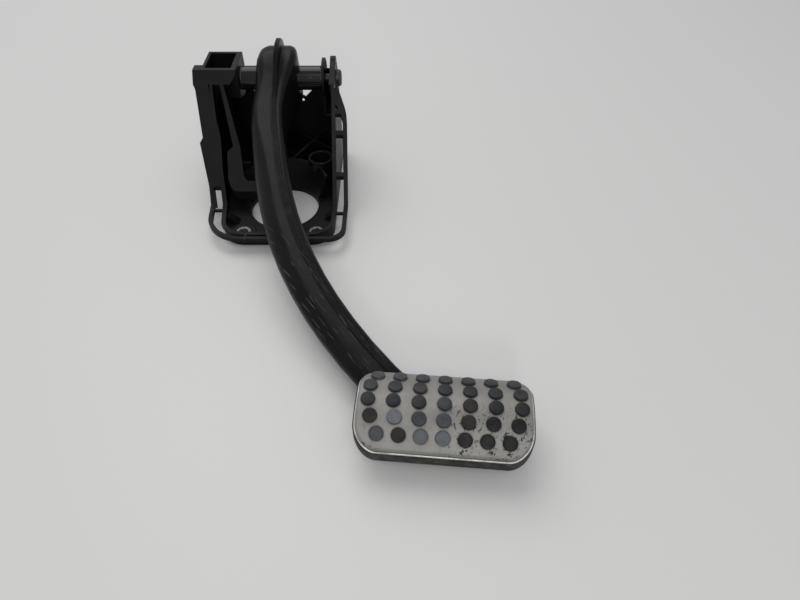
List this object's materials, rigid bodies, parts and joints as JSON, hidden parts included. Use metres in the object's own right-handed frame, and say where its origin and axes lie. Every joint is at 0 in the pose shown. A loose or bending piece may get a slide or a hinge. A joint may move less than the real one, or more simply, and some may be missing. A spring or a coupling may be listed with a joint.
{
  "type": "brake pedal assembly",
  "caption": "Wide brake pedal: pressed steel arm on a moulded bulkhead bracket, swinging on a bolted pivot, with a studded rubber pad under a pierced metal cover.",
  "frame": {"origin": "centre of the pushrod hole on the mounting face of the bracket's flange", "axes": "+X along the pivot towards the pad's side, +Y from the pad towards the pivot, +Z out of the flange away from the bulkhead"},
  "size_m": [0.2903, 0.4159, 0.1369],
  "materials": {
    "bracket_plastic": "matte glass-filled moulding",
    "arm_paint": "satin black coating",
    "zinc_steel": "zinc plated",
    "bush_plastic": "natural bearing plastic",
    "pad_rubber": "matte, worn",
    "pad_steel": "satin stainless, dirty"
  },
  "bodies": {
    "bracket": {"pedal_bracket": "bracket_plastic", "sleeve_front_left": "zinc_steel", "sleeve_front_right": "zinc_steel", "sleeve_rear_left": "zinc_steel", "sleeve_rear_right": "zinc_steel", "ear_sleeve": "zinc_steel", "pivot_bolt": "zinc_steel", "pivot_washer": "zinc_steel", "pivot_nut": "zinc_steel", "pivot_spacer": "zinc_steel"},
    "pedal": {"hub_tube": "arm_paint", "bush_left": "bush_plastic", "bush_right": "bush_plastic", "arm_left_shell": "arm_paint", "arm_right_shell": "arm_paint", "pushrod_pin": "arm_paint", "pad_support": "arm_paint", "pad_plate": "arm_paint", "pad_rubber": "pad_rubber", "pad_cover": "pad_steel"}
  },
  "joints": [
    {"name": "pedal_swing", "type": "hinge", "parent": "bracket", "child": "pedal", "pos_m": [0, 0.088, 0.097], "axis": [-1, 0, 0], "range_deg": [0, 25]}
  ]
}
